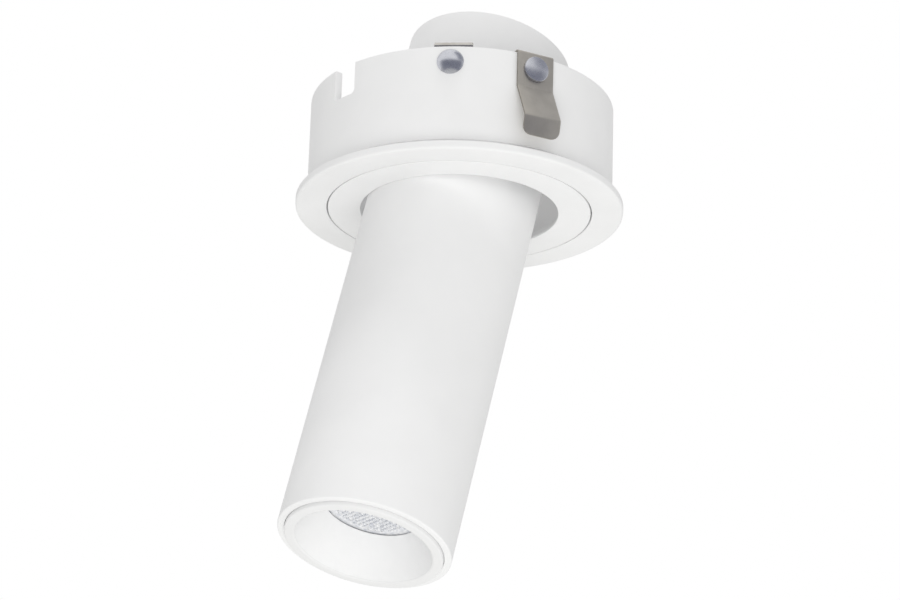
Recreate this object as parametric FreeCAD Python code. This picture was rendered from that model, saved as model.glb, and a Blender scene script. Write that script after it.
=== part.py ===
import FreeCAD, Part
import math
import os

# A recessed ceiling spotlight. A mounting ring with spring clips holds a swivel ring, and the swivel
# ring carries a tubular lamp head, which tilts on two pivots and slides through a guide collar.
# Sizes are in millimetres and angles in degrees. The origin is the centre of the trim's upper face,
# which lies on the ceiling, and +Z is up. A bearing is measured from +X towards +Y, seen from above.

V = FreeCAD.Vector
origin = V(0, 0, 0)
x_axis = V(1, 0, 0)
y_axis = V(0, 1, 0)
z_axis = V(0, 0, 1)

# Tube of the lamp head, placed by the distance from the pivot axis down to its lower end
tube_diameter = 51.2
tube_wall = 2.15
tube_length = 174.7
tube_drop = 130.7
tube_edge_round = 0.5

# Aim of the head: it leans square to the pivot axis and rests against its tilt stop
tilt = 15.8
pivot_bearing = -42.95
pivot_height = 9.8

# Guide collar round the tube, with heights along the tube from the pivot axis
slide_clearance = 0.1
collar_wall = 2.4
collar_base = 7.8
collar_height = 13.0
collar_edge_round = 0.4
lug_radius = 5.5
lug_stand = 1.9
lug_root = 4.0

# Grip rings in grooves of the collar's bore
grip_clearance = 0.05
grip_ring_wall = 1.2
grip_ring_height = 3.0
grip_ring_margin = 2.0
groove_clearance = 0.05

# Snap ring that stops the tube on the collar
stop_ring_height = 1.6
stop_ring_stand = 1.8
stop_ring_bite = 0.8
stop_ring_opening = 14.0
stop_ring_seat = 0.05

# Tilt pivots
washer_thickness = 0.5
washer_radius = 5.0
pivot_radius = 2.0
pivot_clearance = 0.05
pivot_thread_radius = 1.5
pivot_thread_margin = 0.6
pivot_head_radius = 3.8
pivot_head_height = 2.2
pivot_end_play = 0.1
hex_socket_radius = 1.4
hex_socket_depth = 1.2

# Pivot brackets, bent from sheet, and their screws
bracket_thickness = 1.2
bracket_width = 14.0
bracket_bend = 1.0
foot_length = 4.5
foot_clearance = 0.2
bracket_screw_radius = 1.25
bracket_screw_spacing = 8.4
bracket_screw_depth = 2.0
bracket_screw_head_radius = 1.9
bracket_screw_head_height = 1.5
screw_hole_clearance = 0.1

# Swivel ring
opening_clearance = 0.3
opening_lip_thickness = 0.9
opening_lip_width = 1.4
swivel_plate_thickness = 3.1
flange_thickness = 1.6
ledge_width = 3.4
ring_edge_round = 0.25

# Stop for the swivel: a pin on the swivel ring meets a finger of the rear retainer strip
finger_setback = 0.2
finger_width = 5.0
stop_pin_radius = 1.2
stop_pin_margin = 0.2
stop_pin_height = 2.4
stop_pin_bite = 2.0
stop_pin_edge = 0.3

# Mounting ring: trim flange under the ceiling and can above it
swivel_gap = 0.4
flange_clearance = 0.5
can_wall = 2.6
can_height = 31.7
can_edge_round = 0.4
trim_overhang = 3.4
trim_thickness = 2.5
ledge_thickness = 2.1
trim_edge_round = 0.8
notch_bearing = -139.9
notch_width = 9.4
notch_depth = 10.2
notch_corner_round = 1.5

# Rivets of the clips and strips
rivet_radius = 2.0
rivet_hole_clearance = 0.05
rivet_head_radius = 4.0
rivet_head_height = 2.0
rivet_head_gap = 0.02
rivet_tail_radius = 3.0
rivet_tail_height = 1.2
rivet_drop = 5.0

# Retainer strips inside the can
strip_bearing = -94.9
strip_width = 11.7
strip_thickness = 0.8
strip_bend = 1.2
strip_rise = 2.6
strip_side_shift = 0.6
strip_lean_out = 0.7
strip_lean_height = 1.8
strip_wall_gap = 0.05
strip_seat = 0.05
strip_foot_setback = 0.3
strip_corner_round = 0.5

# Spring clips on the outside of the can
clip_bearing = -63.1
clip_width = 12.0
clip_thickness = 0.6
clip_hook_bend = 0.7
clip_bend = 1.8
clip_gap = 0.05
clip_hook_length = 1.9
clip_plate_length = 11.1
clip_leaf_drop = 11.2
clip_leaf_spread = 5.3
clip_lip_drop = 5.7
clip_lip_return = 1.3
clip_corner_round = 2.6

# Anti-glare cone in the tube's lower end, with its rim standing out of that end
cone_fit = 0.2
cone_stand = 1.2
cone_mouth_radius = 20.3
cone_throat_radius = 14.2
cone_depth = 11.5
cone_wall = 1.3
cone_mouth_round = 0.6
cone_rim_round = 0.5
cone_skirt_wall = 1.2
cone_skirt_length = 9.0

# Lens and its holder
lens_radius = 17.5
lens_rim_thickness = 2.4
lens_body_radius = 15.0
lens_back_radius = 8.0
lens_body_length = 8.6
lens_recess_radius = 6.2
lens_recess_depth = 3.0
lens_clearance = 0.3
lens_standoff = 1.1
lens_holder_wall = 1.6
lens_ledge_thickness = 1.2

# LED board, emitter and holder
led_holder_thickness = 3.4
led_holder_overhang = 0.6
board_width = 19.0
board_thickness = 1.2
board_clearance = 0.2
emitter_radius = 6.0
emitter_thickness = 1.2
emitter_clearance = 1.5
pad_thickness = 0.5
holder_screw_radius = 1.25
holder_screw_depth = 3.6
holder_screw_head_radius = 2.2
holder_screw_head_height = 1.5

# Heat sink
sink_fit = 0.1
sink_base_thickness = 5.0
sink_core_radius = 9.0
sink_fin_count = 12
sink_fin_thickness = 1.6
sink_fin_height = 60.0
sink_fin_margin = 0.6
sink_slot_width = 3.2

# Terminal block and leads
terminal_length = 16.0
terminal_width = 9.0
terminal_height = 10.0
terminal_pitch = 5.0
terminal_entry_height = 4.5
terminal_entry_radius = 1.6
terminal_entry_depth = 3.0
terminal_screw_radius = 1.6
terminal_screw_height = 2.4
terminal_screw_recess = 0.6
lead_radius = 0.9
lead_bend = 6.0
lead_inset = 1.5

# Rear cap and cable grommet
cap_fit = 0.1
cap_thickness = 2.0
cap_inset = 0.3
cap_skirt_wall = 1.5
cap_skirt_length = 6.0
grommet_bore_radius = 3.0
grommet_neck_radius = 4.9
grommet_fit = 0.05
grommet_flange_radius = 7.0
grommet_flange_thickness = 1.5

# Radii worked outwards from the tube
tube_radius = tube_diameter / 2
tube_bore_radius = tube_radius - tube_wall
collar_bore_radius = tube_radius + slide_clearance
collar_radius = collar_bore_radius + collar_wall
lug_face = collar_radius + lug_stand
bracket_face = lug_face + washer_thickness
bracket_back = bracket_face + bracket_thickness
foot_end = bracket_back + foot_length
foot_corner_radius = math.hypot(foot_end, bracket_width / 2)
rim_radius = foot_corner_radius + foot_clearance
finger_tip_radius = rim_radius + finger_setback
stop_track_radius = finger_tip_radius + stop_pin_margin + stop_pin_radius
swivel_radius = stop_track_radius + stop_pin_radius + stop_pin_margin
flange_radius = swivel_radius + ledge_width
can_bore_radius = flange_radius + flange_clearance
can_radius = can_bore_radius + can_wall
trim_radius = can_radius + trim_overhang
pivot_drop = pivot_height + trim_thickness
lean = math.radians(tilt)
opening_radius = pivot_drop * math.tan(lean) + tube_radius / math.cos(lean) + opening_clearance

# Heights above the ceiling plane
trim_bottom = -trim_thickness
ledge_top = trim_bottom + ledge_thickness
flange_top = ledge_top + flange_thickness
plate_top = trim_bottom + swivel_plate_thickness
rivet_height = can_height - rivet_drop

# Heights along the tube, from the pivot axis
tube_bottom = -tube_drop
tube_top = tube_bottom + tube_length
collar_top = collar_base + collar_height
stop_ring_base = collar_top + stop_ring_seat
lens_front = tube_bottom + cone_depth
lens_rim_back = lens_front + lens_rim_thickness
lens_back = lens_rim_back + lens_body_length
led_holder_front = lens_back + lens_standoff
sink_front = led_holder_front + led_holder_thickness
board_back = sink_front - pad_thickness
board_front = board_back - board_thickness
sink_base_back = sink_front + sink_base_thickness
sink_back = sink_base_back + sink_fin_height
cap_top = tube_top - cap_inset
cap_plate_base = cap_top - cap_thickness

# Radii inside the tube
lens_holder_bore_radius = lens_radius + lens_clearance
lens_holder_radius = lens_holder_bore_radius + lens_holder_wall
led_holder_radius = lens_holder_radius + led_holder_overhang
holder_screw_circle = lens_holder_bore_radius - holder_screw_head_radius - lens_clearance
sink_radius = tube_bore_radius - sink_fit
lead_track_radius = led_holder_radius - lead_inset


# Shaping helpers

def revolved(profile):
    # A solid of revolution about Z from (radius, height) corners
    corners = [V(radius, 0, height) for radius, height in profile]
    outline = Part.makePolygon(corners + corners[:1])
    return Part.Face(outline).revolve(origin, z_axis, 360)


def tube(inner_radius, outer_radius, base, height):
    top = base + height
    return revolved([(inner_radius, base), (outer_radius, base), (outer_radius, top), (inner_radius, top)])


def rod(radius, start, direction, length):
    return Part.makeCylinder(radius, length, start, direction)


def block(x_size, y_size, z_size, centre_x, centre_y, base):
    corner = V(centre_x - x_size / 2, centre_y - y_size / 2, base)
    return Part.makeBox(x_size, y_size, z_size, corner)


def circle_edges(shape, radius, height):
    # The full circles about Z with this radius at this height
    found = []
    for edge in shape.Edges:
        if not isinstance(edge.Curve, Part.Circle):
            continue
        centre = edge.Curve.Center
        on_axis = math.hypot(centre.x, centre.y) < 1e-6
        if on_axis and abs(centre.z - height) < 1e-6 and abs(edge.Curve.Radius - radius) < 1e-6:
            found.append(edge)
    return found


def rounded(shape, size, rings):
    edges = []
    for radius, height in rings:
        edges += circle_edges(shape, radius, height)
    return shape.makeFillet(size, edges)


def sheet_side(corners, offset, bends):
    # One face line of a bent sheet, beside the middle line through the corners
    runs = [(end - start).normalize() for start, end in zip(corners, corners[1:])]
    sides = [V(-run.z, 0, run.x) * offset for run in runs]
    edges = []
    here = corners[0] + sides[0]
    for number, corner in enumerate(corners[1:-1]):
        before, after = runs[number], runs[number + 1]
        bend_radius = bends[number]
        half_turn = before.getAngle(after) / 2
        setback = bend_radius * math.tan(half_turn)
        inward = (after - before).normalize()
        centre = corner + inward * (bend_radius / math.cos(half_turn))
        nearer_centre = sides[number].dot(inward) > 0
        radius = bend_radius - abs(offset) if nearer_centre else bend_radius + abs(offset)
        start = corner - before * setback + sides[number]
        end = corner + after * setback + sides[number + 1]
        edges.append(Part.LineSegment(here, start).toShape())
        edges.append(Part.Arc(start, centre - inward * radius, end).toShape())
        here = end
    last = corners[-1] + sides[-1]
    edges.append(Part.LineSegment(here, last).toShape())
    return edges, corners[0] + sides[0], last


def bent_sheet(path, bends, thickness, width):
    # A strip of sheet along (outward, height) corners of its middle line, each with its bend radius
    corners = [V(outward, 0, height) for outward, height in path]
    left, left_start, left_end = sheet_side(corners, thickness / 2, bends)
    right, right_start, right_end = sheet_side(corners, -thickness / 2, bends)
    ends = [
        Part.LineSegment(left_start, right_start).toShape(),
        Part.LineSegment(left_end, right_end).toShape(),
    ]
    outline = Part.Wire(Part.__sortEdges__(left + right + ends))
    sheet = Part.Face(outline).extrude(y_axis * width)
    sheet.translate(y_axis * (-width / 2))
    return sheet


def corner_cutter(width, low, high, low_round, high_round):
    # A block along X with rounded corners, which trims a strip's ends
    far = 2 * trim_radius
    body = Part.makeBox(far, width, high - low, V(0, -width / 2, low))
    for height, size in ((low, low_round), (high, high_round)):
        edges = []
        for edge in body.Edges:
            points = [vertex.Point for vertex in edge.Vertexes]
            level = all(abs(point.z - height) < 1e-6 for point in points)
            along_x = abs(points[0].x - points[1].x) > far / 2
            if level and along_x:
                edges.append(edge)
        body = body.makeFillet(size, edges)
    return body


def at_bearing(shape, bearing):
    turned = shape.copy()
    turned.rotate(origin, z_axis, bearing)
    return turned


def on_swivel(shape):
    # From the frame of the pivot axis, along X, to the part's frame
    return at_bearing(shape, pivot_bearing)


def on_head(shape):
    # From the frame of the upright head, with the pivot at the origin, to the part's frame
    leaned = shape.copy()
    leaned.rotate(origin, x_axis, -tilt)
    leaned.rotate(origin, z_axis, pivot_bearing)
    leaned.translate(z_axis * pivot_height)
    return leaned


# Mounting ring and what is riveted to it

def rivet_hole(length):
    radius = rivet_radius + rivet_hole_clearance
    return rod(radius, V(can_radius + length, 0, rivet_height), -x_axis, 2 * length)


def mounting_ring():
    bore = swivel_radius + swivel_gap
    ring = revolved([
        (bore, trim_bottom), (trim_radius, trim_bottom), (trim_radius, 0), (can_radius, 0),
        (can_radius, can_height), (can_bore_radius, can_height), (can_bore_radius, ledge_top),
        (bore, ledge_top),
    ])
    ring = rounded(ring, trim_edge_round, [(trim_radius, trim_bottom)])
    ring = rounded(ring, ring_edge_round, [(bore, trim_bottom), (trim_radius, 0)])
    ring = rounded(ring, can_edge_round, [(can_radius, can_height), (can_bore_radius, can_height)])
    notch_floor = can_height - notch_depth
    notch = corner_cutter(notch_width, notch_floor, can_height + notch_depth, notch_corner_round,
                          notch_corner_round)
    ring = ring.cut(at_bearing(notch, notch_bearing))
    for bearing in (strip_bearing, clip_bearing):
        for half_turn in (0, 180):
            ring = ring.cut(at_bearing(rivet_hole(2 * can_wall), bearing + half_turn))
    return ring


def rivet(seat, grip_end):
    # A dome rivet along X: its head sits outside seat and its tail inside grip_end
    head_seat = seat + rivet_head_gap
    tail_seat = grip_end - rivet_head_gap
    tail_end = tail_seat - rivet_tail_height
    crown = head_seat + rivet_head_height
    sphere_radius = (rivet_head_radius ** 2 + rivet_head_height ** 2) / (2 * rivet_head_height)
    halfway = math.asin(rivet_head_radius / sphere_radius) / 2
    shoulder = V(sphere_radius * math.sin(halfway), 0, crown - sphere_radius * (1 - math.cos(halfway)))
    dome = Part.Arc(V(rivet_head_radius, 0, head_seat), shoulder, V(0, 0, crown)).toShape()
    outline = [
        V(0, 0, crown), V(0, 0, tail_end), V(rivet_tail_radius, 0, tail_end),
        V(rivet_tail_radius, 0, tail_seat), V(rivet_radius, 0, tail_seat), V(rivet_radius, 0, head_seat),
        V(rivet_head_radius, 0, head_seat),
    ]
    sides = Part.makePolygon(outline).Edges
    profile = Part.Face(Part.Wire(Part.__sortEdges__(sides + [dome])))
    solid = profile.revolve(origin, z_axis, 360)
    solid.rotate(origin, y_axis, 90)
    solid.translate(z_axis * rivet_height)
    return solid


def strip_outer_face():
    # A flat strip touches the round wall with the long edge that is further from its rivet
    wide_side = strip_width / 2 + strip_side_shift
    return math.sqrt(can_bore_radius ** 2 - wide_side ** 2) - strip_wall_gap


def retainer_strip(with_finger):
    middle = strip_outer_face() - strip_thickness / 2
    top = can_height + strip_rise
    foot = flange_top + strip_seat + strip_thickness / 2
    foot_tip = swivel_radius + strip_foot_setback
    path = [
        (middle + strip_lean_out, top), (middle, top - strip_lean_height),
        (middle, foot), (foot_tip, foot),
    ]
    strip = bent_sheet(path, [strip_bend, strip_bend], strip_thickness, strip_width)
    strip = strip.common(corner_cutter(strip_width, 0, top, strip_corner_round, strip_corner_round))
    strip.translate(y_axis * strip_side_shift)
    strip = strip.cut(rivet_hole(2 * can_wall + strip_thickness))
    if with_finger:
        reach = foot_tip + strip_bend - finger_tip_radius
        centre = finger_tip_radius + reach / 2
        finger = block(reach, finger_width, strip_thickness, centre, 0, foot - strip_thickness / 2)
        strip = strip.fuse(finger).removeSplitter()
    return strip


def retainer_rivet():
    return rivet(can_radius, strip_outer_face() - strip_thickness)


def spring_clip():
    middle = can_radius + clip_gap + clip_thickness / 2
    top = can_height + clip_gap + clip_thickness / 2
    bend = can_height - clip_plate_length
    widest = bend - clip_leaf_drop
    lip = widest - clip_lip_drop
    path = [
        (can_radius - clip_hook_length, top), (middle, top), (middle, bend),
        (middle + clip_leaf_spread, widest), (middle + clip_leaf_spread - clip_lip_return, lip),
    ]
    clip = bent_sheet(path, [clip_hook_bend, clip_bend, clip_bend], clip_thickness, clip_width)
    clip = clip.common(corner_cutter(clip_width, lip, top + clip_bend, clip_corner_round, clip_thickness))
    return clip.cut(rivet_hole(2 * can_wall))


def clip_rivet():
    # The tail's edge touches the round inside of the wall
    tail_seat = math.sqrt(can_bore_radius ** 2 - rivet_tail_radius ** 2)
    return rivet(can_radius + clip_gap + clip_thickness, tail_seat)


# Swivel ring and what stands on it

def bracket_screw_places():
    outward = foot_end - bracket_screw_head_radius
    return [V(outward, side * bracket_screw_spacing / 2, plate_top) for side in (-1, 1)]


def swivel_ring():
    lip_top = trim_bottom + opening_lip_thickness
    plate_edge = opening_radius + opening_lip_width
    ring = revolved([
        (opening_radius, trim_bottom), (swivel_radius, trim_bottom), (swivel_radius, ledge_top),
        (flange_radius, ledge_top), (flange_radius, flange_top), (rim_radius, flange_top),
        (rim_radius, plate_top), (plate_edge, plate_top), (plate_edge, lip_top), (opening_radius, lip_top),
    ])
    ring = rounded(ring, ring_edge_round, [(swivel_radius, trim_bottom), (opening_radius, trim_bottom)])
    ring = on_swivel(ring)
    for half_turn in (0, 180):
        for place in bracket_screw_places():
            hole = rod(bracket_screw_radius, place, -z_axis, bracket_screw_depth)
            ring = ring.cut(on_swivel(at_bearing(hole, half_turn)))
    pin_seat = V(stop_track_radius, 0, flange_top)
    return ring.cut(at_bearing(rod(stop_pin_radius, pin_seat, -z_axis, stop_pin_bite), strip_bearing))


def swivel_stop_pin():
    base = flange_top - stop_pin_bite
    top = flange_top + stop_pin_height
    pin = rod(stop_pin_radius, V(0, 0, base), z_axis, top - base)
    pin = pin.makeChamfer(stop_pin_edge, circle_edges(pin, stop_pin_radius, top))
    pin.translate(x_axis * stop_track_radius)
    return at_bearing(pin, strip_bearing)


def pivot_bracket():
    middle = bracket_face + bracket_thickness / 2
    foot = plate_top + bracket_thickness / 2
    path = [(foot_end, foot), (middle, foot), (middle, pivot_height)]
    sheet = bent_sheet(path, [bracket_bend], bracket_thickness, bracket_width)
    ear = rod(bracket_width / 2, V(bracket_face, 0, pivot_height), x_axis, bracket_thickness)
    sheet = sheet.fuse(ear).removeSplitter()
    pivot_hole = rod(pivot_radius + pivot_clearance, V(lug_face, 0, pivot_height), x_axis, foot_end)
    sheet = sheet.cut(pivot_hole)
    for place in bracket_screw_places():
        radius = bracket_screw_radius + screw_hole_clearance
        sheet = sheet.cut(rod(radius, place, z_axis, bracket_thickness))
    return sheet


def bracket_screw(place):
    seat = place + z_axis * bracket_thickness
    shank = rod(bracket_screw_radius, seat, -z_axis, bracket_thickness + bracket_screw_depth)
    head = rod(bracket_screw_head_radius, seat, z_axis, bracket_screw_head_height)
    return shank.fuse(head)


# Guide collar on the pivots

def grip_groove_bases():
    return [collar_base + grip_ring_margin, collar_top - grip_ring_margin - grip_ring_height]


def grip_ring_radii():
    inner = tube_radius + grip_clearance
    return inner, inner + grip_ring_wall


def guide_collar():
    collar = tube(collar_bore_radius, collar_radius, collar_base, collar_height)
    collar = rounded(collar, collar_edge_round, [(collar_radius, collar_base), (collar_radius, collar_top)])
    lugs = rod(lug_radius, V(-lug_face, 0, 0), x_axis, 2 * lug_face)
    stems = block(2 * lug_face, 2 * lug_radius, collar_base + lug_root, 0, 0, 0)
    bore = rod(collar_bore_radius, V(0, 0, -lug_radius), z_axis, lug_radius + collar_top)
    collar = collar.fuse(lugs.fuse(stems).cut(bore)).removeSplitter()
    groove_radius = grip_ring_radii()[1] + groove_clearance
    for base in grip_groove_bases():
        collar = collar.cut(tube(tube_radius, groove_radius, base, grip_ring_height))
    return collar.cut(rod(pivot_thread_radius, V(-lug_face, 0, 0), x_axis, 2 * lug_face))


def grip_ring(base):
    inner, outer = grip_ring_radii()
    return tube(inner, outer, base + groove_clearance, grip_ring_height - 2 * groove_clearance)


def pivot_screw():
    # A shoulder screw: the bracket turns on its shoulder and its thread is in the collar's lug
    thread_length = lug_face - collar_bore_radius - pivot_thread_margin
    head_seat = bracket_back + pivot_end_play
    thread = rod(pivot_thread_radius, V(lug_face - thread_length, 0, 0), x_axis, thread_length)
    shoulder = rod(pivot_radius, V(lug_face, 0, 0), x_axis, head_seat - lug_face)
    head = rod(pivot_head_radius, V(head_seat, 0, 0), x_axis, pivot_head_height)
    socket_base = V(head_seat + pivot_head_height - hex_socket_depth, 0, 0)
    socket = rod(hex_socket_radius, socket_base, x_axis, hex_socket_depth)
    return thread.fuse([shoulder, head]).removeSplitter().cut(socket)


def friction_washer():
    disc = rod(washer_radius, V(lug_face, 0, 0), x_axis, washer_thickness)
    return disc.cut(rod(pivot_radius + pivot_clearance, V(lug_face, 0, 0), x_axis, washer_thickness))


# Lamp head

def head_tube():
    body = tube(tube_bore_radius, tube_radius, tube_bottom, tube_length)
    body = rounded(body, tube_edge_round, [(tube_radius, tube_bottom), (tube_radius, tube_top)])
    groove_height = stop_ring_height + stop_ring_seat
    return body.cut(tube(tube_radius - stop_ring_bite, collar_radius, stop_ring_base, groove_height))


def stop_ring():
    inner = tube_radius - stop_ring_bite + groove_clearance
    ring = tube(inner, tube_radius + stop_ring_stand, stop_ring_base, stop_ring_height)
    base = V(0, 0, stop_ring_base)
    opening = Part.makeCylinder(2 * tube_radius, stop_ring_height, base, z_axis, stop_ring_opening)
    return ring.cut(opening)


def anti_glare_cone():
    skirt = tube_bore_radius - cone_fit
    skirt_bore = skirt - cone_skirt_wall
    rim_face = tube_bottom - cone_stand
    slope = math.atan2(cone_mouth_radius - cone_throat_radius, lens_front - rim_face)
    wall_across = cone_wall / math.cos(slope)
    flange_front = lens_front - cone_wall
    behind_flange = cone_throat_radius + cone_wall * math.tan(slope) + wall_across
    behind_rim = cone_mouth_radius - cone_wall * math.tan(slope) + wall_across
    rim_back = rim_face + cone_wall
    cone = revolved([
        (cone_mouth_radius, rim_face), (skirt, rim_face), (skirt, tube_bottom + cone_skirt_length),
        (skirt_bore, tube_bottom + cone_skirt_length), (skirt_bore, rim_back), (behind_rim, rim_back),
        (behind_flange, flange_front), (lens_holder_radius, flange_front), (lens_holder_radius, lens_front),
        (cone_throat_radius, lens_front),
    ])
    cone = rounded(cone, cone_mouth_round, [(cone_mouth_radius, rim_face)])
    return rounded(cone, cone_rim_round, [(skirt, rim_face)])


def lens():
    recess_front = lens_back - lens_recess_depth
    return revolved([
        (0, lens_front), (lens_radius, lens_front), (lens_radius, lens_rim_back),
        (lens_body_radius, lens_rim_back), (lens_back_radius, lens_back), (lens_recess_radius, lens_back),
        (lens_recess_radius, recess_front), (0, recess_front),
    ])


def lens_holder():
    ledge_back = lens_rim_back + lens_ledge_thickness
    ledge_bore = lens_body_radius + lens_clearance
    return revolved([
        (lens_holder_bore_radius, lens_front), (lens_holder_radius, lens_front),
        (lens_holder_radius, led_holder_front), (lens_holder_bore_radius, led_holder_front),
        (lens_holder_bore_radius, ledge_back), (ledge_bore, ledge_back), (ledge_bore, lens_rim_back),
        (lens_holder_bore_radius, lens_rim_back),
    ])


def holder_screw_places():
    return [V(side * holder_screw_circle, 0, led_holder_front) for side in (-1, 1)]


def led_holder():
    window = emitter_radius + emitter_clearance
    body = tube(window, led_holder_radius, led_holder_front, led_holder_thickness)
    pocket_width = board_width + 2 * board_clearance
    pocket = block(pocket_width, pocket_width, sink_front - board_front, 0, 0, board_front)
    body = body.cut(pocket)
    for place in holder_screw_places():
        body = body.cut(rod(holder_screw_radius + screw_hole_clearance, place, z_axis, led_holder_thickness))
    return body


def holder_screw(place):
    shank = rod(holder_screw_radius, place, z_axis, led_holder_thickness + holder_screw_depth)
    head = rod(holder_screw_head_radius, place, -z_axis, holder_screw_head_height)
    return shank.fuse(head)


def led_board():
    return block(board_width, board_width, board_thickness, 0, 0, board_front)


def thermal_pad():
    return block(board_width, board_width, pad_thickness, 0, 0, board_back)


def led_emitter():
    return rod(emitter_radius, V(0, 0, board_front), -z_axis, emitter_thickness)


def heat_sink():
    base = rod(sink_radius, V(0, 0, sink_front), z_axis, sink_base_thickness)
    core = rod(sink_core_radius, V(0, 0, sink_base_back), z_axis, sink_fin_height)
    fin_tip = sink_radius - sink_fin_margin
    fins = []
    for number in range(sink_fin_count):
        fin = block(fin_tip, sink_fin_thickness, sink_fin_height, fin_tip / 2, 0, sink_base_back)
        fins.append(at_bearing(fin, (number + 0.5) * 360 / sink_fin_count))
    sink = base.fuse([core] + fins).removeSplitter()
    slot_length = sink_radius - sink_core_radius
    for side, along in lead_places():
        centre = side * (sink_core_radius + slot_length)
        sink = sink.cut(block(sink_slot_width, slot_length, sink_base_thickness, along, centre, sink_front))
    for place in holder_screw_places():
        seat = place + z_axis * led_holder_thickness
        sink = sink.cut(rod(holder_screw_radius, seat, z_axis, holder_screw_depth))
    return sink


def terminal_places():
    return [-terminal_pitch / 2, terminal_pitch / 2]


def lead_places():
    # The side of the head and the terminal of each lead
    return zip((1, -1), terminal_places())


def terminal_block():
    body = block(terminal_length, terminal_width, terminal_height, 0, 0, sink_back)
    top = sink_back + terminal_height
    well_depth = terminal_screw_height + terminal_screw_recess
    for along in terminal_places():
        body = body.cut(rod(terminal_screw_radius, V(along, 0, top), -z_axis, well_depth))
        for side in (-1, 1):
            mouth = V(along, side * terminal_width / 2, sink_back + terminal_entry_height)
            body = body.cut(rod(terminal_entry_radius, mouth, y_axis * -side, terminal_entry_depth))
    return body


def terminal_screw(along):
    top = sink_back + terminal_height - terminal_screw_recess
    return rod(terminal_screw_radius, V(along, 0, top), -z_axis, terminal_screw_height)


def lead(side, along):
    # From the LED holder up between two fins and over into the terminal block
    entry = sink_back + terminal_entry_height
    inner_end = side * (terminal_width / 2 - terminal_entry_depth)
    across = side * lead_track_radius
    bulge = lead_bend * (1 - math.sqrt(0.5))
    low = V(along, across, sink_front)
    knee = V(along, across, entry - lead_bend)
    crook = V(along, across - side * bulge, entry - bulge)
    turn = V(along, across - side * lead_bend, entry)
    path = Part.Wire([
        Part.LineSegment(low, knee).toShape(),
        Part.Arc(knee, crook, turn).toShape(),
        Part.LineSegment(turn, V(along, inner_end, entry)).toShape(),
    ])
    section = Part.Wire(Part.makeCircle(lead_radius, low, z_axis))
    return path.makePipeShell([section], True, False)


def rear_cap():
    radius = tube_bore_radius - cap_fit
    skirt_base = cap_top - cap_skirt_length
    skirt_bore = radius - cap_skirt_wall
    hole = grommet_neck_radius + grommet_fit
    return revolved([
        (hole, cap_plate_base), (skirt_bore, cap_plate_base), (skirt_bore, skirt_base),
        (radius, skirt_base), (radius, cap_top), (hole, cap_top),
    ])


def cable_grommet():
    return revolved([
        (grommet_bore_radius, cap_plate_base - grommet_flange_thickness),
        (grommet_flange_radius, cap_plate_base - grommet_flange_thickness),
        (grommet_flange_radius, cap_plate_base), (grommet_neck_radius, cap_plate_base),
        (grommet_neck_radius, cap_top), (grommet_flange_radius, cap_top),
        (grommet_flange_radius, cap_top + grommet_flange_thickness),
        (grommet_bore_radius, cap_top + grommet_flange_thickness),
    ])


# Every node of the assembly, in the part's frame

def opposite_pair(shape):
    return [shape, at_bearing(shape, 180)]


def nodes():
    clip = at_bearing(spring_clip(), clip_bearing)
    bracket_front, bracket_rear = [on_swivel(shape) for shape in opposite_pair(pivot_bracket())]
    grip_lower, grip_upper = [on_head(grip_ring(base)) for base in grip_groove_bases()]
    bracket_screws = []
    for place in bracket_screw_places():
        bracket_screws += opposite_pair(bracket_screw(place))
    lead_positive, lead_negative = [on_head(lead(side, along)) for side, along in lead_places()]
    groups = {
        "retainer_rivets": [at_bearing(shape, strip_bearing) for shape in opposite_pair(retainer_rivet())],
        "clip_rivets": [at_bearing(shape, clip_bearing) for shape in opposite_pair(clip_rivet())],
        "bracket_screws": [on_swivel(shape) for shape in bracket_screws],
        "pivot_screws": [on_head(shape) for shape in opposite_pair(pivot_screw())],
        "friction_washers": [on_head(shape) for shape in opposite_pair(friction_washer())],
        "holder_screws": [on_head(holder_screw(place)) for place in holder_screw_places()],
        "terminal_screws": [on_head(terminal_screw(along)) for along in terminal_places()],
    }
    shapes = {name: Part.makeCompound(solids) for name, solids in groups.items()}
    shapes.update({
        "mounting_ring": mounting_ring(),
        "retainer_strip_front": at_bearing(retainer_strip(False), strip_bearing),
        "retainer_strip_rear": at_bearing(retainer_strip(True), strip_bearing + 180),
        "spring_clip_right": clip,
        "spring_clip_left": at_bearing(clip, 180),
        "swivel_ring": swivel_ring(),
        "swivel_stop_pin": swivel_stop_pin(),
        "pivot_bracket_front": bracket_front,
        "pivot_bracket_rear": bracket_rear,
        "guide_collar": on_head(guide_collar()),
        "grip_ring_lower": grip_lower,
        "grip_ring_upper": grip_upper,
        "head_tube": on_head(head_tube()),
        "stop_ring": on_head(stop_ring()),
        "anti_glare_cone": on_head(anti_glare_cone()),
        "lens": on_head(lens()),
        "lens_holder": on_head(lens_holder()),
        "led_holder": on_head(led_holder()),
        "led_board": on_head(led_board()),
        "led_emitter": on_head(led_emitter()),
        "thermal_pad": on_head(thermal_pad()),
        "heat_sink": on_head(heat_sink()),
        "terminal_block": on_head(terminal_block()),
        "lead_positive": lead_positive,
        "lead_negative": lead_negative,
        "rear_cap": on_head(rear_cap()),
        "cable_grommet": on_head(cable_grommet()),
    })
    return shapes


os.makedirs("parts", exist_ok=True)
for name, shape in nodes().items():
    shape.exportStep("parts/" + name + ".step")
    print(name, len(shape.Solids), "solids,", round(shape.Volume, 1), "mm3, valid", shape.isValid())
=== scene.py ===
import math
import bmesh
import bpy
from mathutils import Matrix, Vector


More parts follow.
